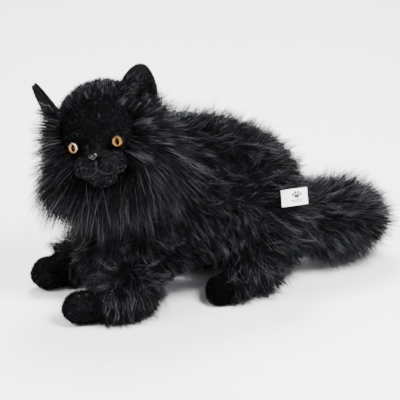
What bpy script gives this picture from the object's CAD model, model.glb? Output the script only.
"""A black long-pile plush cat lying down, its head turned to its left.

The cloth of each part is a closed skin, and the pile is real hair: thin closed tubes that grow out of it.
Shapes are worked out in millimetres and become metres when a mesh is made.
"""

import math

import bpy
import numpy as np
from mathutils import Matrix, Vector
from mathutils.bvhtree import BVHTree
from mathutils.kdtree import KDTree


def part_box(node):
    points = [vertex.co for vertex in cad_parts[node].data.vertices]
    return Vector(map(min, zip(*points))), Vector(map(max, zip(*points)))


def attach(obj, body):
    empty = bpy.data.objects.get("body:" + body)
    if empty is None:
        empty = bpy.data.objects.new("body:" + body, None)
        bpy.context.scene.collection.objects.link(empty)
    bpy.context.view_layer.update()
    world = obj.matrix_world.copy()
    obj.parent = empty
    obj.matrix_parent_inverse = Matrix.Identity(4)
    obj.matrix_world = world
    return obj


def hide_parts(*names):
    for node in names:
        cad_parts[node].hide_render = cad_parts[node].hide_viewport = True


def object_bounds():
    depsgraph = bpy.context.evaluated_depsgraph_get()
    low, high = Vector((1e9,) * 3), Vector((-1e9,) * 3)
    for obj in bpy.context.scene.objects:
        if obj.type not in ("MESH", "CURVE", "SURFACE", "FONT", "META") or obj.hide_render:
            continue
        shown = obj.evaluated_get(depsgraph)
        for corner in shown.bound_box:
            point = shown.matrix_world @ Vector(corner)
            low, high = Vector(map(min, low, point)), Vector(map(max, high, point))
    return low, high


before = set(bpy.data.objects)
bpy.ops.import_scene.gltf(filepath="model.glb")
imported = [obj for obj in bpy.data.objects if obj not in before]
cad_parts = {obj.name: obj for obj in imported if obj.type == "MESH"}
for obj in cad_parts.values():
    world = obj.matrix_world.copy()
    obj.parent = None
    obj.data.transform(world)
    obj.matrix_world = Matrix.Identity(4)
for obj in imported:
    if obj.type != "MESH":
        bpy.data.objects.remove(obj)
cad_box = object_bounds()

MM = 0.001
SIDES = {"left": 1, "right": -1}
SEED = 7
DOWN = np.array([0.0, 0.0, -1.0])
FACE_LIMIT = 195000  # triangles in one piece of pile
FLOOR_CLEARANCE = 0.4
PILE_PROUD = (13, 20, 10)  # how far pile may stand out of the CAD box
WISP_SHARE = 0.5  # of a clump's strands that have the clump's shade

# ---------------------------------------------------------------- small tools


def unit(v):
    return v / np.maximum(np.linalg.norm(v, axis=-1, keepdims=True), 1e-9)


def smooth(low, high, x):
    t = np.clip((x - low) / (high - low), 0, 1)
    return t * t * (3 - 2 * t)


def node_points(name):
    """The vertices of a CAD node, in millimetres."""
    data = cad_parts[name].data
    points = np.empty(len(data.vertices) * 3)
    data.vertices.foreach_get("co", points)
    return points.reshape(-1, 3) / MM


def make_mesh(name, points, faces, materials, material_index=None, flat=False):
    """A mesh object from points in millimetres and faces given as arrays of equal-length rows."""
    data = bpy.data.meshes.new(name)
    corners = [np.asarray(block, np.int32) for block in faces]
    loops = np.concatenate([block.ravel() for block in corners])
    sizes = np.concatenate([np.full(len(block), block.shape[1], np.int32) for block in corners])
    data.vertices.add(len(points))
    data.vertices.foreach_set("co", (np.asarray(points) * MM).astype(np.float32).ravel())
    data.loops.add(len(loops))
    data.loops.foreach_set("vertex_index", loops)
    data.polygons.add(len(sizes))
    data.polygons.foreach_set("loop_start", np.concatenate([[0], np.cumsum(sizes)[:-1]]).astype(np.int32))
    data.polygons.foreach_set("loop_total", sizes)
    data.polygons.foreach_set("use_smooth", np.full(len(sizes), not flat))
    for material in materials:
        data.materials.append(material)
    if material_index is not None:
        data.polygons.foreach_set("material_index", material_index.astype(np.int32))
    data.update(calc_edges=True)
    obj = bpy.data.objects.new(name, data)
    bpy.context.scene.collection.objects.link(obj)
    return obj


def spline(values, u):
    """Points at each u from 0 to 1 on a Catmull-Rom curve through the rows of values."""
    v = np.asarray(values, float)
    last = len(v) - 1
    x = np.clip(u, 0, 1) * last
    i = np.minimum(x.astype(int), last - 1)
    f = (x - i)[:, None]
    p = np.vstack([2 * v[0] - v[1], v, 2 * v[-1] - v[-2]])
    a, b, c, d = p[i], p[i + 1], p[i + 2], p[i + 3]
    return b + 0.5 * f * ((c - a) + f * ((2 * a - 5 * b + 4 * c - d) + f * (3 * b - a - 3 * c + d)))


# ---------------------------------------------------------------- materials


def new_material(name):
    """A material with an empty node tree but for its shader and output."""
    made = bpy.data.materials.new(name)
    made.use_nodes = True
    shader = made.node_tree.nodes["Principled BSDF"]
    return made, made.node_tree, shader


def noise(tree, scale, detail=3.0, coordinates="Object"):
    source = tree.nodes.new("ShaderNodeTexCoord")
    texture = tree.nodes.new("ShaderNodeTexNoise")
    texture.inputs["Scale"].default_value = scale
    texture.inputs["Detail"].default_value = detail
    tree.links.new(source.outputs[coordinates], texture.inputs["Vector"])
    return texture


def ramp(tree, source, stops):
    """A colour ramp over stops of (place, colour)."""
    node = tree.nodes.new("ShaderNodeValToRGB")
    elements = node.color_ramp.elements
    elements.remove(elements[1])
    elements[0].position = stops[0][0]
    elements[0].color = (*stops[0][1], 1)
    for place, colour in stops[1:]:
        elements.new(place).color = (*colour, 1)
    tree.links.new(source, node.inputs["Fac"])
    return node


def bump(tree, shader, height, strength, distance):
    node = tree.nodes.new("ShaderNodeBump")
    node.inputs["Strength"].default_value = strength
    node.inputs["Distance"].default_value = distance
    tree.links.new(height, node.inputs["Height"])
    tree.links.new(node.outputs["Normal"], shader.inputs["Normal"])


def plain_material(name, colour, roughness, specular):
    made, _, shader = new_material(name)
    shader.inputs["Base Color"].default_value = (*colour, 1)
    shader.inputs["Roughness"].default_value = roughness
    shader.inputs["Specular IOR Level"].default_value = specular
    return made


def cloth_material(name, dark, light):
    """Knitted backing that shows between the hairs."""
    made, tree, shader = new_material(name)
    shader.inputs["Specular IOR Level"].default_value = 0.1
    knit = noise(tree, 900, 2)
    colour = ramp(tree, knit.outputs["Fac"], [(0.35, dark), (0.7, light)])
    tree.links.new(colour.outputs["Color"], shader.inputs["Base Color"])
    rough = ramp(tree, knit.outputs["Fac"], [(0.3, (0.8, 0.8, 0.8)), (0.7, (0.95, 0.95, 0.95))])
    tree.links.new(rough.outputs["Color"], shader.inputs["Roughness"])
    bump(tree, shader, knit.outputs["Fac"], 0.5, 0.0006)
    return made


LONG_HAIR = [
    plain_material("long_pile_black", (0.002, 0.002, 0.0024), 0.6, 0.05),
    plain_material("long_pile_dark", (0.006, 0.006, 0.008), 0.5, 0.15),
    plain_material("long_pile_grey", (0.06, 0.06, 0.07), 0.42, 0.5),
]
UNDER_SHARES = (0.78, 0.20, 0.02)
GUARD_SHARES = (0.54, 0.28, 0.18)
FLANK_SHARES = (0.62, 0.26, 0.12)
SHORT_HAIR = [
    plain_material("short_pile_black", (0.0015, 0.0015, 0.0018), 0.65, 0.03),
    plain_material("short_pile_dark", (0.005, 0.005, 0.0065), 0.55, 0.12),
    plain_material("short_pile_grey", (0.024, 0.023, 0.030), 0.45, 0.4),
]
VELVET_SHARES = (0.88, 0.11, 0.01)
PLUSH_SHARES = (0.58, 0.32, 0.10)
BACKING = cloth_material("pile_backing", (0.0015, 0.0015, 0.0018), (0.005, 0.005, 0.006))

# ---------------------------------------------------------------- skins


def sleeve(sections, inset, rows=40, segments=48, rounding=0.2, upright=False):
    """A closed sleeve over sections (x, y, z, half width, half height), moved inward by inset.

    The ends close as quarter ellipses over the rounding share of the length. Upright sections face along Y,
    and others face along the centre line.
    """
    sections = np.asarray(sections, float)
    length = np.linalg.norm(np.diff(sections[:, :3], axis=0), axis=1).sum()
    along = np.linspace(0, 1, rows + 1)[1:-1]
    eased = (along + (1 - np.cos(along * np.pi)) / 2) / 2
    share = inset / length + eased * (1 - 2 * inset / length)
    centre = spline(sections[:, :3], share)
    tangent = unit(spline(sections[:, :3], share + 0.005) - spline(sections[:, :3], share - 0.005))
    if upright:
        tangent = np.broadcast_to([0.0, 1, 0], tangent.shape)
    across = unit(np.array([1.0, 0, 0]) - tangent * tangent[:, :1])
    up = np.cross(across, tangent)
    from_end = np.minimum(eased, 1 - eased) / rounding
    closing = np.sqrt(1 - (1 - np.minimum(from_end, 1)) ** 2)
    half = (spline(sections[:, 3:], share) - inset) * closing[:, None]
    turn = np.linspace(0, 2 * np.pi, segments, endpoint=False)
    rings = (
        centre[:, None]
        + across[:, None] * (half[:, :1] * np.cos(turn))[..., None]
        + up[:, None] * (half[:, 1:] * np.sin(turn))[..., None]
    )
    ends = spline(sections[:, :3], np.array([inset / length, 1 - inset / length]))
    points = np.vstack([rings.reshape(-1, 3), ends])
    return points, tube_faces(rows - 1, segments)


def tube_faces(rings, segments):
    """Quads between rings of points and triangle fans to two last points, the start's pole and the end's."""
    i = np.arange(segments)
    j = (i + 1) % segments
    quads = np.concatenate([
        np.stack([r * segments + i, r * segments + j, (r + 1) * segments + j, (r + 1) * segments + i], 1)
        for r in range(rings - 1)
    ])[:, ::-1]
    start, end = rings * segments, rings * segments + 1
    last = (rings - 1) * segments
    fan_start = np.stack([np.full(segments, start), i, j], 1)
    fan_end = np.stack([np.full(segments, end), last + j, last + i], 1)
    return [quads, fan_start, fan_end]


SPHERE_DETAIL = 5


def ellipsoid(centre, radii, inset):
    """The skin of an ellipsoid, moved inward by inset."""
    bpy.ops.mesh.primitive_ico_sphere_add(subdivisions=SPHERE_DETAIL, radius=1)
    obj = bpy.context.object
    points = np.empty(len(obj.data.vertices) * 3)
    obj.data.vertices.foreach_get("co", points)
    faces = np.empty(len(obj.data.polygons) * 3, np.int32)
    obj.data.polygons.foreach_get("vertices", faces)
    bpy.data.objects.remove(obj, do_unlink=True)
    return points.reshape(-1, 3) * (np.array(radii, float) - inset) + centre, [faces.reshape(-1, 3)]


def triangles(faces):
    return np.concatenate([
        block if block.shape[1] == 3 else np.concatenate([block[:, [0, 1, 2]], block[:, [0, 2, 3]]])
        for block in faces
    ])


def point_normals(points, faces):
    tri = triangles(faces)
    a, b, c = points[tri[:, 0]], points[tri[:, 1]], points[tri[:, 2]]
    face = np.cross(b - a, c - a)
    normals = np.zeros_like(points)
    for corner in range(3):
        np.add.at(normals, tri[:, corner], face)
    return unit(normals)


def add_skin(name, shape, body, replaced):
    """The padded cloth under the pile of one part."""
    points, faces = shape
    points = points.copy()
    points[:, 2] = np.maximum(points[:, 2], FLOOR_CLEARANCE)
    obj = make_mesh(name, points, faces, [BACKING])
    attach(obj, body)
    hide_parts(*replaced)
    return points, faces


# ---------------------------------------------------------------- hair

UNDER_RADIUS = 0.24
GUARD_RADIUS = 0.18
LIMB_GUARD_RADIUS = 0.19
FACE_RADIUS = 0.26
PAW_RADIUS = 0.28
TIP_SHARE = 0.55  # of a hair's thickness at its root
ROOT_DEPTH = 0.6  # how far below the skin a hair begins
SEARCH_RANGE = 40.0
WAVE_COUNT = 6
WAVES = np.random.default_rng(SEED).normal(size=(WAVE_COUNT, 3, 3)) / 22  # about 60 mm long and longer


def roots_on(shape, count, rng, density=None):
    """Places and normals scattered over a skin, evenly or by density.

    density is a function of place and normal, from 0 to 1.
    """
    points, faces = shape
    normals = point_normals(points, faces)
    tri = triangles(faces)
    a, b, c = (points[tri[:, k]] for k in range(3))
    area = np.linalg.norm(np.cross(b - a, c - a), axis=1)
    pick = rng.choice(len(tri), size=count, p=area / area.sum())
    u, v = rng.random((2, count))
    over = u + v > 1
    u[over], v[over] = 1 - u[over], 1 - v[over]
    weights = np.stack([1 - u - v, u, v], 1)
    where = (points[tri[pick]] * weights[..., None]).sum(1)
    normal = unit((normals[tri[pick]] * weights[..., None]).sum(1))
    if density is not None:
        keep = rng.random(count) < density(where, normal)
        where, normal = where[keep], normal[keep]
    return where, normal


def inside(shape, where, depth):
    """Which places lie deeper than depth inside a skin."""
    points, faces = shape
    tree = BVHTree.FromPolygons(points.tolist(), triangles(faces).tolist())
    found = np.zeros(len(where), bool)
    for i, place in enumerate(where.tolist()):
        near, normal, _, distance = tree.find_nearest(place, SEARCH_RANGE)
        if near is not None and distance > depth:
            found[i] = (Vector(place) - near).dot(normal) < 0
    return found


def nearest_guides(where, rng, per_clump):
    """For each place, the index of the guide that its clump gathers round."""
    guides = rng.choice(len(where), max(len(where) // per_clump, 1), replace=False)
    tree = KDTree(len(guides))
    for i in guides:
        tree.insert(where[i], int(i))
    tree.balance()
    return np.array([tree.find(place)[1] for place in where])


def drift(where):
    """A slow random change of direction over the surface, so that the pile lies in swirls."""
    phases = np.arange(WAVE_COUNT) * 1.7
    turns = np.sin(np.einsum("nk,wkj->nwj", where, WAVES) + phases[None, :, None])
    return turns.sum(1) / np.sqrt(WAVE_COUNT)


def grow(where, normal, flow, rng, length, lift, points=5, per_clump=30, clump=0.5, stray=0.14, tuft=0.35,
         swirl=0.0, curl=0.0, droop=0.25):
    """Hair centre lines as an array of strands by points by 3, and the guide of each strand's clump.

    Each hair leaves the skin between its normal and flow, bends with flow and its own weight, and its tip
    leans towards its clump's guide. tuft turns whole clumps, stray single hairs and swirl whole patches; curl
    is the radius of a hair's waves.
    """
    count = len(where)
    guide = nearest_guides(where, rng, per_clump)
    flow = unit(flow) + drift(where) * swirl
    flow = flow + (rng.normal(size=(count, 3)) * tuft)[guide] + rng.normal(size=(count, 3)) * stray
    flow = flow - normal * np.minimum((flow * normal).sum(1, keepdims=True), 0)
    lift = np.broadcast_to(lift, count)[:, None] * rng.uniform(0.75, 1.25, (count, 1))
    length = np.broadcast_to(length, count) * rng.uniform(0.7, 1.1, count)
    length = length * rng.uniform(0.85, 1.15, count)[guide]
    start = unit(unit(flow) * (1 - lift) + normal * lift)
    lines = np.empty((count, points, 3))
    lines[:, 0] = where - normal * ROOT_DEPTH
    step = length[:, None] / (points - 1)
    for k in range(1, points):
        bend = (k - 1) / (points - 1)
        heading = unit(start + unit(flow) * bend * 0.6 + DOWN * droop * bend)
        lines[:, k] = lines[:, k - 1] + heading * step
    pull = (np.linspace(0, 1, points) ** 1.3 * clump)[None, :, None]
    lines = lines + (lines[guide] - lines) * pull
    if curl:
        turn = rng.uniform(0, 2 * np.pi, count)[guide] + rng.normal(size=count) * 0.5
        angle = turn[:, None] + np.linspace(0, 2 * np.pi * 0.9, points)
        side = unit(np.cross(start, rng.normal(size=3)))
        other = np.cross(start, side)
        reach = curl * np.linspace(0, 1, points) ** 0.7
        lines += side[:, None] * (np.cos(angle) * reach)[..., None]
        lines += other[:, None] * (np.sin(angle) * reach)[..., None]
    return lines, guide


def trimmed(lines, rng):
    """The hairs, shortened where they would stand more than PILE_PROUD out of the CAD box."""
    low, high = np.array(cad_box) / MM + [[-p for p in PILE_PROUD], PILE_PROUD]
    root = lines[:, :1]
    way = lines - root
    room = np.where(way > 0, high - root, root - low)
    share = np.min(room / np.maximum(np.abs(way), 1e-6), axis=(1, 2)) * rng.uniform(0.8, 1, len(lines))
    return root + way * np.clip(share, 0, 1)[:, None, None]


def add_hair(name, pile, body, radius, rng, looks=LONG_HAIR, shares=UNDER_SHARES):
    """Closed three-sided tapered tubes along the lines, in pieces of at most FACE_LIMIT triangles.

    Most of a clump has one shade, so that it shows as a wisp.
    """
    lines, guide = pile
    lines = trimmed(lines, rng)
    lines[..., 2] = np.maximum(lines[..., 2], FLOOR_CLEARANCE + radius)
    shade = rng.choice(len(looks), size=len(lines), p=shares)
    shade = np.where(rng.random(len(lines)) < WISP_SHARE, shade[guide], shade)
    order = np.argsort(lines[:, 0, 1], kind="stable")
    lines, shade = lines[order], shade[order]
    per_strand = 6 * lines.shape[1] - 8
    batches = max(1, math.ceil(len(lines) * per_strand / FACE_LIMIT))
    for number, batch in enumerate(np.array_split(np.arange(len(lines)), batches), 1):
        piece = f"{name}_{number}" if batches > 1 else name
        obj = tubes(piece, lines[batch], shade[batch], radius, rng, looks)
        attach(obj, body)


def tubes(name, lines, shade, radius, rng, looks):
    """One mesh of closed tubes, each with a triangle at its root and a point at its tip."""
    count, points, _ = lines.shape
    tangent = unit(np.gradient(lines, axis=1))
    side = unit(np.cross(tangent, rng.normal(size=(count, 1, 3))))
    other = np.cross(tangent, side)
    rings = points - 1
    thickness = radius * np.linspace(1, TIP_SHARE, rings) * rng.uniform(0.8, 1.2, (count, 1))
    turn = np.arange(3) * 2 * np.pi / 3
    ring = (
        lines[:, :rings, None]
        + side[:, :rings, None] * (thickness[..., None] * np.cos(turn))[..., None]
        + other[:, :rings, None] * (thickness[..., None] * np.sin(turn))[..., None]
    )
    verts = np.concatenate([ring.reshape(count, rings * 3, 3), lines[:, -1:]], 1)
    per = rings * 3 + 1
    base = (np.arange(count) * per)[:, None]
    quads, tips = [], []
    for k in range(3):
        m = (k + 1) % 3
        for r in range(rings - 1):
            quads.append(base + [r * 3 + k, r * 3 + m, r * 3 + 3 + m, r * 3 + 3 + k])
        tips.append(base + [(rings - 1) * 3 + k, (rings - 1) * 3 + m, per - 1])
    roots = base + [2, 1, 0]
    faces = [np.concatenate(quads), np.concatenate(tips), roots]
    index = np.concatenate([np.tile(shade, len(quads)), np.tile(shade, len(tips)), shade])
    return make_mesh(name, verts.reshape(-1, 3), faces, looks, index)


# ---------------------------------------------------------------- camera, light and floor

CAMERA_AZIMUTH = 69
CAMERA_ELEVATION = 23
CAMERA_DISTANCE = 7.0
VIEW_WIDTH = 0.444  # metres across the picture at the object
AIM = Vector((0.0, -0.0204, 0.103))
WORLD_STRENGTH = 0.9
FLOOR_SIZE = 8
LIGHTS = [  # name, azimuth, elevation, distance, size, power
    ("key", 110, 50, 1.5, 0.5, 75),
    ("fill", 15, 35, 1.6, 0.7, 30),
    ("rim", 250, 60, 1.5, 0.6, 60),
]


def direction(azimuth, elevation):
    a, e = math.radians(azimuth), math.radians(elevation)
    return Vector((math.sin(a) * math.cos(e), -math.cos(a) * math.cos(e), math.sin(e)))


def add_camera():
    data = bpy.data.cameras.new("camera")
    data.lens = data.sensor_width * CAMERA_DISTANCE / VIEW_WIDTH
    camera = bpy.data.objects.new("camera", data)
    towards = direction(CAMERA_AZIMUTH, CAMERA_ELEVATION)
    camera.location = AIM + towards * CAMERA_DISTANCE
    camera.rotation_euler = towards.to_track_quat("Z", "Y").to_euler()
    bpy.context.scene.collection.objects.link(camera)
    bpy.context.scene.camera = camera


def add_light(name, azimuth, elevation, distance, size, power):
    data = bpy.data.lights.new(name, "AREA")
    data.shape = "SQUARE"
    data.size = size
    data.energy = power
    light = bpy.data.objects.new(name, data)
    towards = direction(azimuth, elevation)
    light.location = AIM + towards * distance
    light.rotation_euler = towards.to_track_quat("Z", "Y").to_euler()
    bpy.context.scene.collection.objects.link(light)


def add_studio():
    world = bpy.data.worlds.new("studio")
    bpy.context.scene.world = world
    world.use_nodes = True
    background = world.node_tree.nodes["Background"]
    background.inputs["Color"].default_value = (0.95, 0.96, 1.0, 1)
    background.inputs["Strength"].default_value = WORLD_STRENGTH
    for light in LIGHTS:
        add_light(*light)
    bpy.ops.mesh.primitive_plane_add(size=FLOOR_SIZE)
    floor = bpy.context.object
    floor.name = "floor"
    made, tree, shader = new_material("floor")
    grain = noise(tree, 30, 4)
    colour = ramp(tree, grain.outputs["Fac"], [(0.3, (0.955, 0.955, 0.96)), (0.7, (0.97, 0.97, 0.975))])
    tree.links.new(colour.outputs["Color"], shader.inputs["Base Color"])
    shader.inputs["Roughness"].default_value = 0.85
    floor.data.materials.append(made)


# ---------------------------------------------------------------- fillings

FILLING, filling_tree, filling_shader = new_material("filling")
fibre = noise(filling_tree, 260, 5)
tuft = ramp(filling_tree, fibre.outputs["Fac"], [(0.3, (0.72, 0.71, 0.68)), (0.7, (0.86, 0.85, 0.83))])
filling_tree.links.new(tuft.outputs["Color"], filling_shader.inputs["Base Color"])
filling_shader.inputs["Roughness"].default_value = 0.9
bump(filling_tree, filling_shader, fibre.outputs["Fac"], 0.8, 0.0015)
PLUG_SHARE = 0.75  # of the CAD plug's size, so that it stays within the cloth


def build_plug(node, body):
    """The filling that fills a neck or a tail root and bends with it."""
    low, high = (np.array(corner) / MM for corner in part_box(node))
    shape = ellipsoid((low + high) / 2, (high - low) / 2 * PLUG_SHARE, 0)
    obj = make_mesh(f"{node}_wad", *shape, [FILLING])
    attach(obj, body)
    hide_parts(node)


# ---------------------------------------------------------------- body and limbs

# Sections of the pile's envelope: x, y, z, half width, half height.
BODY = [
    (0, -153, 76, 30, 42),
    (0, -140, 81, 50, 78),
    (0, -115, 94, 65, 99),
    (0, -85, 103, 72, 105),
    (0, -55, 112, 73, 100),
    (0, -15, 112, 72, 93),
    (0, 20, 100, 72, 93),
    (0, 48, 87, 71, 91),
    (0, 78, 74, 64, 78),
    (0, 103, 64, 42, 50),
]
FORELEG = [
    (50, -203, 18, 16, 17),
    (51, -186, 19, 20, 21),
    (53, -168, 20, 20, 22),
    (57, -146, 26, 27, 29),
    (56, -118, 42, 28, 40),
    (52, -90, 68, 25, 40),
]
HIND_FOOT = [
    (56, -35, 15, 15, 16),
    (56, -18, 16, 19, 19),
    (55, 0, 20, 20, 22),
    (52, 24, 26, 22, 27),
]
HAUNCH_CENTRE = (42, 26, 56)
HAUNCH_RADII = (40, 50, 57)
TAIL = [
    (0, 46, 76, 24, 24),
    (0, 72, 73, 37, 37),
    (0, 95, 67, 37, 38),
    (-2, 116, 61, 41, 42),
    (-6, 138, 56, 44, 44),
    (-11, 164, 50, 41, 40),
    (-15, 186, 47, 34, 34),
    (-17, 203, 46, 22, 22),
]
BODY_PILE = 15
BODY_UNDER = (-0.2, -0.8)  # the normal's height where the belly's shorter pile begins and is all there is
LEG_PILE = 12
PAW_PILE = 4
TAIL_PILE = 19
WRIST_Y = -161
ANKLE_Y = -4
WRIST_SLANT = 7  # how much further forward the long pile begins on top of a limb than at its sides
BODY_ROOTS = 56000
BODY_GUARD_ROOTS = 26000
HAUNCH_ROOT_SHARE = 1.4  # of the foot's roots
GUARD_ROOT_SHARE = 0.4  # of a limb's long-pile roots
FORELEG_ROOTS = 9000
HINDLEG_ROOTS = 6000
PAW_ROOTS = 15000
TAIL_ROOTS = 26000
TAIL_GUARD_ROOTS = 12000


def mirror(sections, side):
    return [(x * side, *rest) for x, *rest in sections]


def paw_share(y, wrist, upward=0.0):
    """1 on the short-pile paw and 0 on the long-pile sleeve behind the wrist."""
    edge = wrist - WRIST_SLANT * smooth(0.3, 0.9, upward)
    return 1 - smooth(edge - 4, edge + 4, y)


def limb_shape(sections, wrist):
    """A limb's skin: nearer the envelope on the paw, where the pile is short."""
    deep, faces = sleeve(sections, LEG_PILE)
    shallow, _ = sleeve(sections, PAW_PILE)
    upward = point_normals(shallow, faces)[:, 2:]
    share = paw_share(shallow[:, 1:2], wrist, upward)
    return deep + (shallow - deep) * share, faces


def build_body():
    rng = np.random.default_rng([SEED, 1])
    shape = add_skin("body_skin", sleeve(BODY, BODY_PILE, 56, 64, 0.16, upright=True), "body",
                     ["body_cover", "belly_panel", "body_stuffing"])

    def flow(p, n):
        """Back and down over the flanks, and down the chest."""
        front = 1 - smooth(-135, -95, p[:, 1])
        return np.stack([
            np.sign(p[:, 0]) * 0.1 * (1 - front),
            0.8 * (1 - front) - 0.1 * front,
            -0.30 - 0.45 * (1 - np.abs(n[:, 2])) - 0.5 * front,
        ], 1)

    under = BODY_UNDER
    p, n = roots_on(shape, BODY_ROOTS, rng, lambda p, n: np.where(n[:, 2] < -0.75, 0.4, 1.0))
    length = 24 - 12 * smooth(*under, n[:, 2])
    lines = grow(p, n, flow(p, n), rng, length, 0.5, per_clump=9, clump=0.45, stray=0.34, tuft=0.6,
                 swirl=0.55, curl=0.9)
    add_hair("body_pile", lines, "body", UNDER_RADIUS, rng)
    p, n = roots_on(shape, BODY_GUARD_ROOTS, rng, lambda p, n: np.where(n[:, 2] < -0.5, 0.1, 1.0))
    length = 33 - 18 * smooth(*under, n[:, 2])
    lines = grow(p, n, flow(p, n), rng, length, 0.66, per_clump=6, clump=0.7, stray=0.35, tuft=0.8, swirl=0.8,
                 curl=2.2)
    add_hair("body_guard_hair", lines, "body", GUARD_RADIUS, rng, shares=FLANK_SHARES)
    return shape


def build_limb(kind, side_name, sections, wrist, others, count):
    side = SIDES[side_name]
    name = f"{kind}_{side_name}"
    rng = np.random.default_rng([SEED, 2 + len(kind), side + 1])
    covers = [f"{name}_cover", f"{name}_paw", f"{name}_stuffing"]
    skins = [add_skin(f"{name}_skin", limb_shape(mirror(sections, side), wrist), name, covers)]
    if kind == "hindleg":
        haunch = ellipsoid(np.array(HAUNCH_CENTRE) * [side, 1, 1], HAUNCH_RADII, BODY_PILE)
        skins.append(add_skin(f"{name}_haunch_skin", haunch, name, covers[:1]))

    def on_paw(p, n):
        return paw_share(p[:, 1], wrist, n[:, 2])

    def long_roots(share):
        """Roots behind the wrist and on the haunch, outside the other skins."""
        p, n = roots_on(skins[0], int(count * share), rng, lambda p, n: 1 - on_paw(p, n))
        for skin in skins[1:]:
            q, m = roots_on(skin, int(count * share * HAUNCH_ROOT_SHARE), rng)
            keep = ~inside(skins[0], q, 2)
            p, n = np.vstack([p, q[keep]]), np.vstack([n, m[keep]])
        for other in others:
            keep = ~inside(other, p, 4)
            p, n = p[keep], n[keep]
        return p, n

    def flow(p, n):
        """Down the limb, and forwards over the paw; also how near each place is to the paw."""
        near_paw = 1 - smooth(wrist, wrist + 25, p[:, 1])
        above = smooth(-0.2, 0.6, n[:, 2])
        if kind == "foreleg":
            along = 0.2 - (0.2 + 1.3 * above) * near_paw
        else:
            along = 0.5 - 0.6 * near_paw
        return np.stack([n[:, 0] * 0.3, along, -0.85 + 0.4 * near_paw], 1), near_paw

    def lift(least, n):
        """The pile stands up more on top of a foreleg."""
        return least + 0.28 * smooth(0.1, 0.8, n[:, 2]) * (kind == "foreleg")

    p, n = long_roots(1)
    way, near_paw = flow(p, n)
    lines = grow(p, n, way, rng, 22 - 4 * near_paw, lift(0.42, n), per_clump=16, clump=0.45, stray=0.25,
                 tuft=0.45, swirl=0.3, curl=0.6)
    add_hair(f"{name}_pile", lines, name, UNDER_RADIUS, rng)
    p, n = long_roots(GUARD_ROOT_SHARE)
    way, near_paw = flow(p, n)
    lines = grow(p, n, way, rng, 31 - 5 * near_paw, lift(0.5, n), per_clump=5, clump=0.65, stray=0.3,
                 tuft=0.5, swirl=0.4, curl=1.5)
    add_hair(f"{name}_guard_hair", lines, name, LIMB_GUARD_RADIUS, rng, shares=GUARD_SHARES)
    p, n = roots_on(skins[0], PAW_ROOTS, rng, lambda p, n: on_paw(p, n) * (n[:, 2] > -0.9))
    way = np.broadcast_to([0.0, -0.6, -0.4], p.shape)
    lines = grow(p, n, way, rng, 4.2, 0.7, points=3, per_clump=12, clump=0.35, stray=0.3, tuft=0.3, droop=0)
    add_hair(f"{name}_paw_pile", lines, name, PAW_RADIUS, rng, SHORT_HAIR, VELVET_SHARES)


def build_tail(body_shape):
    rng = np.random.default_rng([SEED, 9])
    shape = add_skin("tail_skin", sleeve(TAIL, TAIL_PILE, 40, 40, 0.22), "tail",
                     ["tail_cover", "tail_stuffing"])

    def roots(count):
        p, n = roots_on(shape, count, rng)
        keep = ~inside(body_shape, p, 3)
        return p[keep], n[keep]

    def flow(p, n):
        """Back along the tail, and down below its root; also how near each place is to the tip."""
        hanging = smooth(0.3, -0.5, n[:, 2]) * (1 - smooth(100, 150, p[:, 1]))
        return np.array([-0.1, 1.0, -0.15]) + DOWN * hanging[:, None], smooth(130, 185, p[:, 1])

    p, n = roots(TAIL_ROOTS)
    way, tip = flow(p, n)
    lines = grow(p, n, way, rng, 27, 0.55 + 0.15 * tip, per_clump=14, clump=0.5, stray=0.28, tuft=0.45,
                 swirl=0.35, curl=0.6)
    add_hair("tail_pile", lines, "tail", UNDER_RADIUS, rng)
    p, n = roots(TAIL_GUARD_ROOTS)
    way, tip = flow(p, n)
    lines = grow(p, n, way, rng, 38, 0.68 + 0.15 * tip, per_clump=5, clump=0.65, stray=0.38, tuft=0.55,
                 swirl=0.5, curl=1.4)
    add_hair("tail_guard_hair", lines, "tail", LIMB_GUARD_RADIUS, rng, shares=GUARD_SHARES)


# ---------------------------------------------------------------- head


def head_axes():
    """The head's own axes and origin: x to its left, y back, z up, worked out from the eyes."""
    left, right = (node_points(f"eye_{s}_pupil").mean(0) for s in SIDES)
    washers = [node_points(f"eye_{s}_washer").mean(0) for s in SIDES]
    across = unit(left - right)
    back = unit(washers[0] + washers[1] - left - right)
    up = np.cross(across, back)
    return np.stack([across, back, up], 1), (left + right) / 2


EYE_MIDDLE = np.array([0.0, -41.2, 2.0])  # between the pupils, in the head's own axes
HEAD_TURN, pupil_middle = head_axes()
HEAD_ORIGIN = pupil_middle - HEAD_TURN @ EYE_MIDDLE


def to_head(points):
    return (points - HEAD_ORIGIN) @ HEAD_TURN


def from_head(points):
    return points @ HEAD_TURN.T + HEAD_ORIGIN


def turn_from_head(vectors):
    return vectors @ HEAD_TURN.T


# Soft volumes under the pile, in the head's own axes: centre and radii.
HEAD_VOLUMES = [
    ((0, 2, 9), (50, 42, 50)),  # skull
    ((0, 6, -17), (59, 31, 33)),  # cheeks
    ((12, -39, -21), (17, 16, 13)),  # left half of the muzzle
    ((-12, -39, -21), (17, 16, 13)),
    ((0, -37, -36), (15, 13, 9)),  # chin
    ((0, -36, -4), (10, 15, 14)),  # bridge of the nose
]
HEAD_BLEND = 4.5
FACE_CENTRE_Z = 16
FACE_RADII = (40, 33)
MUZZLE_CENTRE_Z = -24
MUZZLE_RADII = (30, 21)
EYE_CLEARING_AT = (24.2, 1.2)  # further in than the eye, as the pile lies outward
EYE_CLEARING = 5.9
MOUTH = [
    [(0, -14), (0, -19), (0, -25)],
    [(0, -24.5), (6, -29), (12, -30.5), (17, -28.5)],
    [(0, -24.5), (-6, -29), (-12, -30.5), (-17, -28.5)],
]
MOUTH_PARTING = 1.4
THREAD_RADIUS = 0.65
HEAD_ROOTS = 34000
HEAD_GUARD_ROOTS = 19000
THROAT_ROOT_SHARE = 2.0  # how many times as many roots there are over the throat
FACE_ROOTS = 70000


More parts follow.
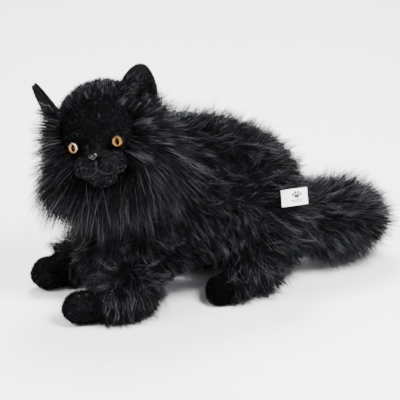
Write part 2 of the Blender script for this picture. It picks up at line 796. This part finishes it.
def head_distance(points):
    """About how far points in the head's own axes lie outside its skin."""
    total = None
    for centre, radii in HEAD_VOLUMES:
        q = points - centre
        scaled = np.linalg.norm(q / radii, axis=1)
        slope = np.linalg.norm(q / np.square(radii), axis=1)
        distance = scaled * (scaled - 1) / np.maximum(slope, 1e-9)
        if total is None:
            total = distance
            continue
        mix = np.clip(0.5 + 0.5 * (total - distance) / HEAD_BLEND, 0, 1)
        total = total + (distance - total) * mix - HEAD_BLEND * mix * (1 - mix)
    return total


def reach(middle, rays):
    """How far along each ray from middle the head's skin lies."""
    low, high = np.full(len(rays), 2.0), np.full(len(rays), 110.0)
    for _ in range(24):
        halfway = (low + high) / 2
        outside = head_distance(middle + rays * halfway[:, None]) > 0
        high, low = np.where(outside, halfway, high), np.where(outside, low, halfway)
    return low


def head_shape():
    rays, faces = ellipsoid((0, 0, 0), (1, 1, 1), 0)
    middle = np.array([0.0, -4.0, -4.0])
    return from_head(middle + rays * reach(middle, rays)[:, None]), faces


def front_of_head(x, z):
    """The skin's points at x and z, seen from in front, in the head's own axes."""
    start = np.stack([x, np.full_like(x, -10.0), z], 1)
    ahead = np.broadcast_to([0.0, -1, 0], start.shape)
    return start + ahead * reach(start, ahead)[:, None]


def oval(x, z, centre_z, radii):
    return np.hypot(x / radii[0], (z - centre_z) / radii[1])


def mouth_distance(x, z):
    """How far x and z are from the sewn mouth, seen from in front."""
    nearest = np.full(x.shape, 99.0)
    for line in MOUTH:
        for u, w in spline(line, np.linspace(0, 1, 24)):
            nearest = np.minimum(nearest, np.hypot(x - u, z - w))
    return nearest


def head_regions(places):
    """Which places on the head are on the muzzle, the velvet face and the long pile. The rest is bare."""
    x, y, z = to_head(places).T
    muzzle = (oval(x, z, MUZZLE_CENTRE_Z, MUZZLE_RADII) < 1) & (y < -20)
    face = (oval(x, z, FACE_CENTRE_Z, FACE_RADII) < 1) & (y < -8) & ~muzzle
    eye = np.hypot(np.abs(x) - EYE_CLEARING_AT[0], z - EYE_CLEARING_AT[1])
    bare = ((eye < EYE_CLEARING) & (y < -15)) | ((mouth_distance(x, z) < MOUTH_PARTING) & (y < -20))
    return muzzle & ~bare, face & ~bare, ~(muzzle | face | bare)


def build_head(body_shape):
    rng = np.random.default_rng([SEED, 11])
    covers = ["head_cover", "face_panel", "muzzle_cover", "chin_panel", "head_stuffing", "nose_washer"]
    shape = add_skin("head_skin", head_shape(), "head", covers + [f"eye_{s}_washer" for s in SIDES])

    def long_roots(count):
        """Roots on the long-pile part, denser over the throat."""
        p, n = roots_on(shape, int(count * THROAT_ROOT_SHARE), rng)
        least = 1 / THROAT_ROOT_SHARE
        chance = least + (1 - least) * smooth(-15, -35, to_head(p)[:, 2])
        keep = head_regions(p)[2] & (rng.random(len(p)) < chance)
        keep[keep] = ~inside(body_shape, p[keep], 4)
        return p[keep], n[keep]

    def flow(p):
        """Away from the muzzle over the cheeks, up and back over the crown, and down from the throat."""
        x, y, z = to_head(p).T
        crown = smooth(18, 38, z)
        throat = smooth(-6, -28, z) * (1 - smooth(12, 34, y))
        around = np.stack([x * (1 - 0.75 * throat), 2 + 28 * crown - 8 * throat, z + 14], 1)
        way = turn_from_head(unit(around)) + DOWN * (0.5 * smooth(25, -15, z) + 1.1 * throat)[:, None]
        cheek = smooth(30, 50, np.abs(x)) * (1 - crown)
        return way, crown, throat, cheek

    p, n = long_roots(HEAD_ROOTS)
    way, crown, throat, cheek = flow(p)
    length = 24 - 14 * crown + 30 * throat + 5 * cheek
    lines = grow(p, n, way, rng, length, 0.42 + 0.15 * crown + 0.12 * cheek, per_clump=8, clump=0.4,
                 stray=0.22, tuft=0.3, swirl=0.15, curl=0.3)
    add_hair("head_pile", lines, "head", UNDER_RADIUS, rng)
    p, n = long_roots(HEAD_GUARD_ROOTS)
    way, crown, throat, cheek = flow(p)
    length = 34 - 22 * crown + 38 * throat + 6 * cheek
    lines = grow(p, n, way, rng, length, 0.45 + 0.15 * crown + 0.12 * cheek, per_clump=5, clump=0.6,
                 stray=0.18, tuft=0.22, swirl=0.2, curl=0.8)
    add_hair("head_guard_hair", lines, "head", GUARD_RADIUS, rng, shares=GUARD_SHARES)

    p, n = roots_on(shape, FACE_ROOTS, rng)
    muzzle, face, _ = head_regions(p)
    for name, chosen, length, shares in (("muzzle_pile", muzzle, 3.2, PLUSH_SHARES),
                                         ("face_pile", face, 4.6, VELVET_SHARES)):
        x, _, z = to_head(p[chosen]).T
        way = turn_from_head(unit(np.stack([x, 0 * x, z + 10], 1)))
        lines = grow(p[chosen], n[chosen], way, rng, length, 0.6, points=3, per_clump=14, clump=0.3,
                     stray=0.3, tuft=0.25, droop=0.1)
        add_hair(name, lines, "head", FACE_RADIUS, rng, SHORT_HAIR, shares)


# ---------------------------------------------------------------- face fittings

BLACK_PLASTIC = plain_material("black_plastic", (0.002, 0.002, 0.002), 0.22, 0.25)
PUPIL = plain_material("pupil", (0.003, 0.0015, 0.0008), 0.7, 0.05)
THREAD = plain_material("thread", (0.006, 0.006, 0.007), 0.55, 0.25)


LENS_IOR = 1.14  # lower than real plastic has, so that the lens mirrors less of the studio


def lens_material():
    made, _, shader = new_material("clear_plastic")
    shader.inputs["Base Color"].default_value = (1, 0.97, 0.9, 1)
    shader.inputs["Roughness"].default_value = 0.02
    shader.inputs["IOR"].default_value = LENS_IOR
    shader.inputs["Transmission Weight"].default_value = 1
    return made


def iris_material():
    """Amber, lighter towards the pupil and ringed with brown."""
    made, tree, shader = new_material("iris")
    place = tree.nodes.new("ShaderNodeTexCoord")
    length = tree.nodes.new("ShaderNodeVectorMath")
    length.operation = "LENGTH"
    tree.links.new(place.outputs["Object"], length.inputs[0])
    scaled = tree.nodes.new("ShaderNodeMath")
    scaled.operation = "DIVIDE"
    scaled.inputs[1].default_value = IRIS_RADIUS * MM
    tree.links.new(length.outputs["Value"], scaled.inputs[0])
    stops = [(0.35, (0.12, 0.045, 0.001)), (0.6, (0.42, 0.18, 0.003)), (0.85, (0.30, 0.11, 0.0018)),
             (1.0, (0.03, 0.009, 0.0006))]
    colour = ramp(tree, scaled.outputs["Value"], stops)
    tree.links.new(colour.outputs["Color"], shader.inputs["Base Color"])
    shader.inputs["Roughness"].default_value = 0.3
    return made


EYE_RADIUS = 6.0
DOME_HEIGHT = 4.0
IRIS_RADIUS = 5.3
PUPIL_RADII = (2.3, 3.9)


def eye_frame(side_name):
    """An eye's axes and the middle of its face plane: x to the left, y back, z up."""
    pupil = node_points(f"eye_{side_name}_pupil").mean(0)
    back = unit(node_points(f"eye_{side_name}_washer").mean(0) - pupil)
    up = unit(HEAD_TURN[:, 2] - back * HEAD_TURN[:, 2].dot(back))
    return np.stack([np.cross(back, up), back, up], 1), pupil - back * 1.3


def crisp(profile, near=0.05):
    """The profile with a point close to each side of every sharp corner, so that its shading stays sharp."""
    profile = np.array(profile, float)
    before, after = unit(np.diff(profile, axis=0))[:-1], unit(np.diff(profile, axis=0))[1:]
    points = [profile[0]]
    for corner, come, go in zip(profile[1:-1], before, after):
        points += [corner] if come.dot(go) > 0.9 else [corner - come * near, corner + go * near]
    return [*points, profile[-1]]


def lathe(profile, segments=48):
    """A closed surface of revolution about Y through (radius, y) points, the first and last on the axis."""
    profile = crisp(profile)
    turn = np.linspace(0, 2 * np.pi, segments, endpoint=False)
    rings = [np.stack([r * np.cos(turn), np.full(segments, y), r * np.sin(turn)], 1)
             for r, y in profile[1:-1]]
    ends = [[0, profile[0][1], 0], [0, profile[-1][1], 0]]
    quads, start, end = tube_faces(len(rings), segments)
    return np.vstack([*rings, ends]), [quads, start, end]


def arc(radius, height, steps=10):
    """A dome's profile from its top at y = -height to its rim at y = 0."""
    angle = np.linspace(0, np.pi / 2, steps)
    return [(radius * np.sin(a), -height * np.cos(a)) for a in angle]


def fitting(name, shape, frame_of, origin, material, body, replaced):
    """A hard piece given in its own frame, in millimetres."""
    points, faces = shape
    obj = make_mesh(name, points, faces, [material])
    obj.matrix_world = Matrix.LocRotScale(Vector(origin * MM), Matrix(frame_of.tolist()), None)
    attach(obj, body)
    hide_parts(replaced)
    return obj


def build_eye(side_name):
    turn, origin = eye_frame(side_name)
    lens, iris = lens_material(), iris_material()
    rim = EYE_RADIUS - 0.4
    shapes = {
        "dome": (lathe([*arc(rim, DOME_HEIGHT), (rim, 0.4), (0, 0.4)]), lens, "clear_plastic"),
        "iris": (lathe([(0, 0.9), (IRIS_RADIUS, 0.9), (IRIS_RADIUS, 1.6), (0, 1.6)]), iris, "amber"),
        "pupil": (lathe([(0, 0.5), (0.9, 0.52), (1, 0.6), (1, 0.8), (0, 0.8)]), PUPIL, "black_plastic"),
        "shank": (lathe([(0, 1.7), (EYE_RADIUS - 1.2, 1.7), (EYE_RADIUS - 0.3, 0.2), (EYE_RADIUS, 0),
                         (EYE_RADIUS + 0.35, 0.6), (EYE_RADIUS + 0.2, 3), (3, 4), (3, 10), (0, 10)]),
                  BLACK_PLASTIC, "black_plastic"),
    }
    for part, (shape, material, slot) in shapes.items():
        points, faces = shape
        if part == "pupil":
            points = points * [PUPIL_RADII[0], 1, PUPIL_RADII[1]]
        name = f"eye_{side_name}_{part}"
        fitting(f"{name}_shape", (points, faces), turn, origin, material, "head", name)


NOSE_AT = np.array([0, -54.5, -9.0])


def build_nose():
    """A rounded triangle, wide above and narrow below."""
    points, faces = ellipsoid((0, 0, 0), (1, 1, 1), 0)
    x, y, z = points.T
    width = 6.4 * (1 - 0.42 * smooth(0.3, -1.0, z))
    points = np.stack([x * width, y * 5.0, z * 4.2 + 0.7 * np.abs(x)], 1)
    fitting("nose_shape", (points, faces), HEAD_TURN, from_head(NOSE_AT), BLACK_PLASTIC, "head", "nose")


def build_mouth():
    """Stitches laid over the seam of the muzzle: a cord of three lines that meet below the nose."""
    rings, faces, offset = [], [], 0
    segments = 8
    turn = np.linspace(0, 2 * np.pi, segments, endpoint=False)
    for line in MOUTH:
        xz = spline(line, np.linspace(0, 1, 20))
        centre = from_head(front_of_head(xz[:, 0], xz[:, 1]))
        tangent = unit(np.gradient(centre, axis=0))
        out = np.broadcast_to(-HEAD_TURN[:, 1], centre.shape)
        side = unit(np.cross(tangent, out))
        out = np.cross(side, tangent)
        ring = centre[:, None] + side[:, None] * (np.cos(turn) * THREAD_RADIUS)[:, None] + out[:, None] * (
            np.sin(turn) * THREAD_RADIUS)[:, None]
        rings.append(np.vstack([ring.reshape(-1, 3), centre[[0, -1]]]))
        faces += [block + offset for block in tube_faces(len(centre), segments)]
        offset += len(rings[-1])
    obj = make_mesh("mouth_thread", np.vstack(rings), faces, [THREAD])
    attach(obj, "head")
    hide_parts("mouth_stitch")


# ---------------------------------------------------------------- ears

# Each ear's place in the head's own axes, and its lean to its own side and its turn about its upright in
# degrees.
EARS = {
    "left": ((46, -3, 43), 37, 20),
    "right": ((-53, -3, 41), 32, 55),
}
EAR_HALF_BASE = 22.5
EAR_HEIGHT = 35.5
EAR_TIP_OFFSET = -10.0
EAR_FOOT = 6.0
EAR_CUP = 5.0
EAR_ROOTS = 6500
EAR_TUFT_ROOTS = 9000
EAR_TUFT_TOP = {"left": 17, "right": 6}  # how far up the hair inside each ear is rooted


def ear_frame(side_name):
    at, lean, turn = EARS[side_name]
    side = SIDES[side_name]
    lean = Matrix.Rotation(math.radians(side * lean), 3, "Y")
    turn = Matrix.Rotation(math.radians(side * turn), 3, "Z")
    return HEAD_TURN @ np.array(lean @ turn), from_head(np.array(at, float))


def ear_layer(side, front, back, rows=24, columns=28):
    """A closed cupped blade between two depths, in the ear's own axes."""
    up = np.linspace(0, 1, rows) ** 0.8
    half = EAR_HALF_BASE * (1 - up**2.5) ** 0.62
    middle = EAR_TIP_OFFSET * up**1.4 * 0.8
    height = -EAR_FOOT + up * (EAR_HEIGHT + EAR_FOOT)
    turn = np.linspace(0, 2 * np.pi, columns, endpoint=False)
    across = np.cos(turn)
    thick = np.sin(turn)
    x = middle[:, None] + half[:, None] * across
    cup = EAR_CUP * (1 - up[:, None] * 0.6) * across**2 * (half / EAR_HALF_BASE)[:, None]
    depth = (back - front) / 2 * np.sign(thick) * np.abs(thick) ** 0.6
    y = (front + back) / 2 - cup + depth * np.minimum(1, (half / 4)[:, None] + 0.15)
    rings = np.stack([x * side, y, np.broadcast_to(height[:, None], x.shape)], 2)
    ends = np.stack([rings[0].mean(0), rings[-1].mean(0)])
    points = np.vstack([rings.reshape(-1, 3), ends])
    faces = tube_faces(rows, columns)
    if side > 0:
        faces = [block[:, ::-1] for block in faces]
    return points, faces


def build_ear(side_name):
    side = SIDES[side_name]
    rng = np.random.default_rng([SEED, 21, side + 1])
    turn, origin = ear_frame(side_name)
    shapes = {}
    for part, front, back in (("outer", 0.1, 3.0), ("lining", -2.2, -0.1)):
        points, faces = ear_layer(side, front, back)
        points = points @ turn.T + origin
        shapes[part] = points, faces
        obj = make_mesh(f"ear_{side_name}_{part}_cloth", points, faces, [BACKING])
        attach(obj, f"ear_{side_name}")
        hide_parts(f"ear_{side_name}_{part}")
    upward = turn[:, 2]
    for part, shape in shapes.items():
        p, n = roots_on(shape, EAR_ROOTS, rng)
        facing = (n @ turn[:, 1]) * (1 if part == "outer" else -1) > -0.3
        p, n = p[facing], n[facing]
        way = np.broadcast_to(upward, p.shape)
        lines = grow(p, n, way, rng, 2.2, 0.55, points=3, per_clump=10, clump=0.3, stray=0.3, tuft=0.2,
                     droop=0)
        add_hair(f"ear_{side_name}_{part}_pile", lines, f"ear_{side_name}", UNDER_RADIUS, rng, SHORT_HAIR,
                 VELVET_SHARES)
    p, n = roots_on(shapes["lining"], EAR_TUFT_ROOTS, rng)
    local = (p - origin) @ turn
    low = (local[:, 2] < EAR_TUFT_TOP[side_name]) & (n @ turn[:, 1] < -0.2)
    p, n = p[low], n[low]
    way = upward + turn[:, 0] * (0.25 * rng.normal(size=(len(p), 1)))
    chosen = rng.random(len(p)) < 0.35
    lines = grow(p[chosen], n[chosen], way[chosen], rng, 15, 0.35, per_clump=6, clump=0.5, stray=0.25,
                 tuft=0.3, curl=0.5)
    add_hair(f"ear_{side_name}_tuft", lines, f"ear_{side_name}", GUARD_RADIUS, rng, shares=GUARD_SHARES)


# ---------------------------------------------------------------- label

LABEL_WIDTH = 19.5
LABEL_LENGTH = 29.0
LABEL_PLY = 0.35
LABEL_GAP = 0.5
LABEL_RISE = 0.08  # how steeply its free end points up

# The print, in millimetres along and up the label: a paw mark of ovals, and rules under it.
PRINT_OVALS = [
    ((17, 1.6), (3.1, 2.4)),
    ((12.9, 3.6), (1.2, 1.7)),
    ((15.5, 5.8), (1.3, 1.8)),
    ((18.8, 5.8), (1.3, 1.8)),
    ((21.3, 3.6), (1.2, 1.7)),
]
PRINT_RULES = [
    ((17, -3.2), (7.0, 0.45)),
    ((17, -5.0), (5.6, 0.45)),
]


def math_node(tree, operation, first, second):
    node = tree.nodes.new("ShaderNodeMath")
    node.operation = operation
    for slot, value in zip(node.inputs, (first, second)):
        if isinstance(value, (int, float)):
            slot.default_value = value
        else:
            tree.links.new(value, slot)
    return node.outputs["Value"]


def mark(tree, place, centre, radii, oval_mark):
    """1 inside an oval or a rectangle on the label's outer face."""
    moved = tree.nodes.new("ShaderNodeVectorMath")
    moved.operation = "MULTIPLY_ADD"
    scale = (1 / (radii[0] * MM), 0, 1 / (radii[1] * MM))
    moved.inputs[1].default_value = scale
    moved.inputs[2].default_value = (-centre[0] * MM * scale[0], 0, -centre[1] * MM * scale[2])
    tree.links.new(place, moved.inputs[0])
    if oval_mark:
        length = tree.nodes.new("ShaderNodeVectorMath")
        length.operation = "LENGTH"
        tree.links.new(moved.outputs["Vector"], length.inputs[0])
        size = length.outputs["Value"]
    else:
        absolute = tree.nodes.new("ShaderNodeVectorMath")
        absolute.operation = "ABSOLUTE"
        tree.links.new(moved.outputs["Vector"], absolute.inputs[0])
        parts = tree.nodes.new("ShaderNodeSeparateXYZ")
        tree.links.new(absolute.outputs["Vector"], parts.inputs["Vector"])
        size = math_node(tree, "MAXIMUM", parts.outputs["X"], parts.outputs["Z"])
    return math_node(tree, "LESS_THAN", size, 1.0)


def satin_material():
    """White satin, printed in black on its outer face."""
    made, tree, shader = new_material("satin")
    place = tree.nodes.new("ShaderNodeTexCoord").outputs["Object"]
    ink = None
    for marks, oval_mark in ((PRINT_OVALS, True), (PRINT_RULES, False)):
        for centre, radii in marks:
            part = mark(tree, place, centre, radii, oval_mark)
            ink = part if ink is None else math_node(tree, "MAXIMUM", ink, part)
    parts = tree.nodes.new("ShaderNodeSeparateXYZ")
    tree.links.new(place, parts.inputs["Vector"])
    outer = math_node(tree, "LESS_THAN", parts.outputs["Y"], -0.0006)
    ink = math_node(tree, "MULTIPLY", ink, outer)
    colour = ramp(tree, ink, [(0.0, (0.86, 0.86, 0.85)), (1.0, (0.02, 0.02, 0.02))])
    tree.links.new(colour.outputs["Color"], shader.inputs["Base Color"])
    shader.inputs["Roughness"].default_value = 0.4
    weave = noise(tree, 1500, 1)
    bump(tree, shader, weave.outputs["Fac"], 0.15, 0.0002)
    return made


def build_label():
    """A strip folded in half, with both ends in the seam. In its own axes x is along it, y in to the body."""
    low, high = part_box("label")
    points = node_points("label")
    root = points[points[:, 1] < low[1] / MM + 1].mean(0)
    end = points[points[:, 1] > high[1] / MM - 1].mean(0)
    along = unit((end - root) * [1, 1, 0] + [0, 0, LABEL_RISE * LABEL_LENGTH])
    inward = unit(np.cross([0, 0, 1.0], along))
    frame_of = np.stack([along, inward, np.cross(along, inward)], 1)
    gap = (LABEL_GAP + LABEL_PLY) / 2
    share = np.linspace(0, 1, 26)
    length = (LABEL_LENGTH - gap) * share
    wave = 1.2 * np.sin(share * 2.2) * share
    bulge = gap * (1 + 0.8 * np.sin(np.pi * share))
    fold = np.linspace(np.pi / 2, -np.pi / 2, 9)[1:-1]
    path = np.vstack([
        np.stack([length, bulge - wave], 1),
        np.stack([length[-1] + gap * np.cos(fold), gap * np.sin(fold) - wave[-1]], 1),
        np.stack([length, -bulge - wave], 1)[::-1],
    ])
    tangent = unit(np.gradient(path, axis=0))
    across = np.stack([-tangent[:, 1], tangent[:, 0]], 1) * LABEL_PLY / 2
    rings = []
    for side, height in ((1, -1), (1, 1), (-1, 1), (-1, -1)):
        rings.append(np.insert(path + across * side, 2, height * LABEL_WIDTH / 2, axis=1))
    rings = np.stack(rings, 1)
    ends = rings[[0, -1]].mean(1)
    obj = make_mesh("label_satin", np.vstack([rings.reshape(-1, 3), ends]), tube_faces(len(path), 4),
                    [satin_material()], flat=True)
    obj.matrix_world = Matrix.LocRotScale(Vector(root * MM), Matrix(frame_of.tolist()), None)
    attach(obj, "label")
    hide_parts("label")


# ---------------------------------------------------------------- assembly

add_camera()
add_studio()
body_shape = build_body()
for side_name in SIDES:
    build_limb("foreleg", side_name, FORELEG, WRIST_Y, [body_shape], FORELEG_ROOTS)
    build_limb("hindleg", side_name, HIND_FOOT, ANKLE_Y, [body_shape], HINDLEG_ROOTS)
    build_ear(side_name)
    build_eye(side_name)
build_tail(body_shape)
build_plug("tail_root_filling", "tail_root")
build_head(body_shape)
build_plug("neck_filling", "neck")
build_nose()
build_mouth()
build_label()
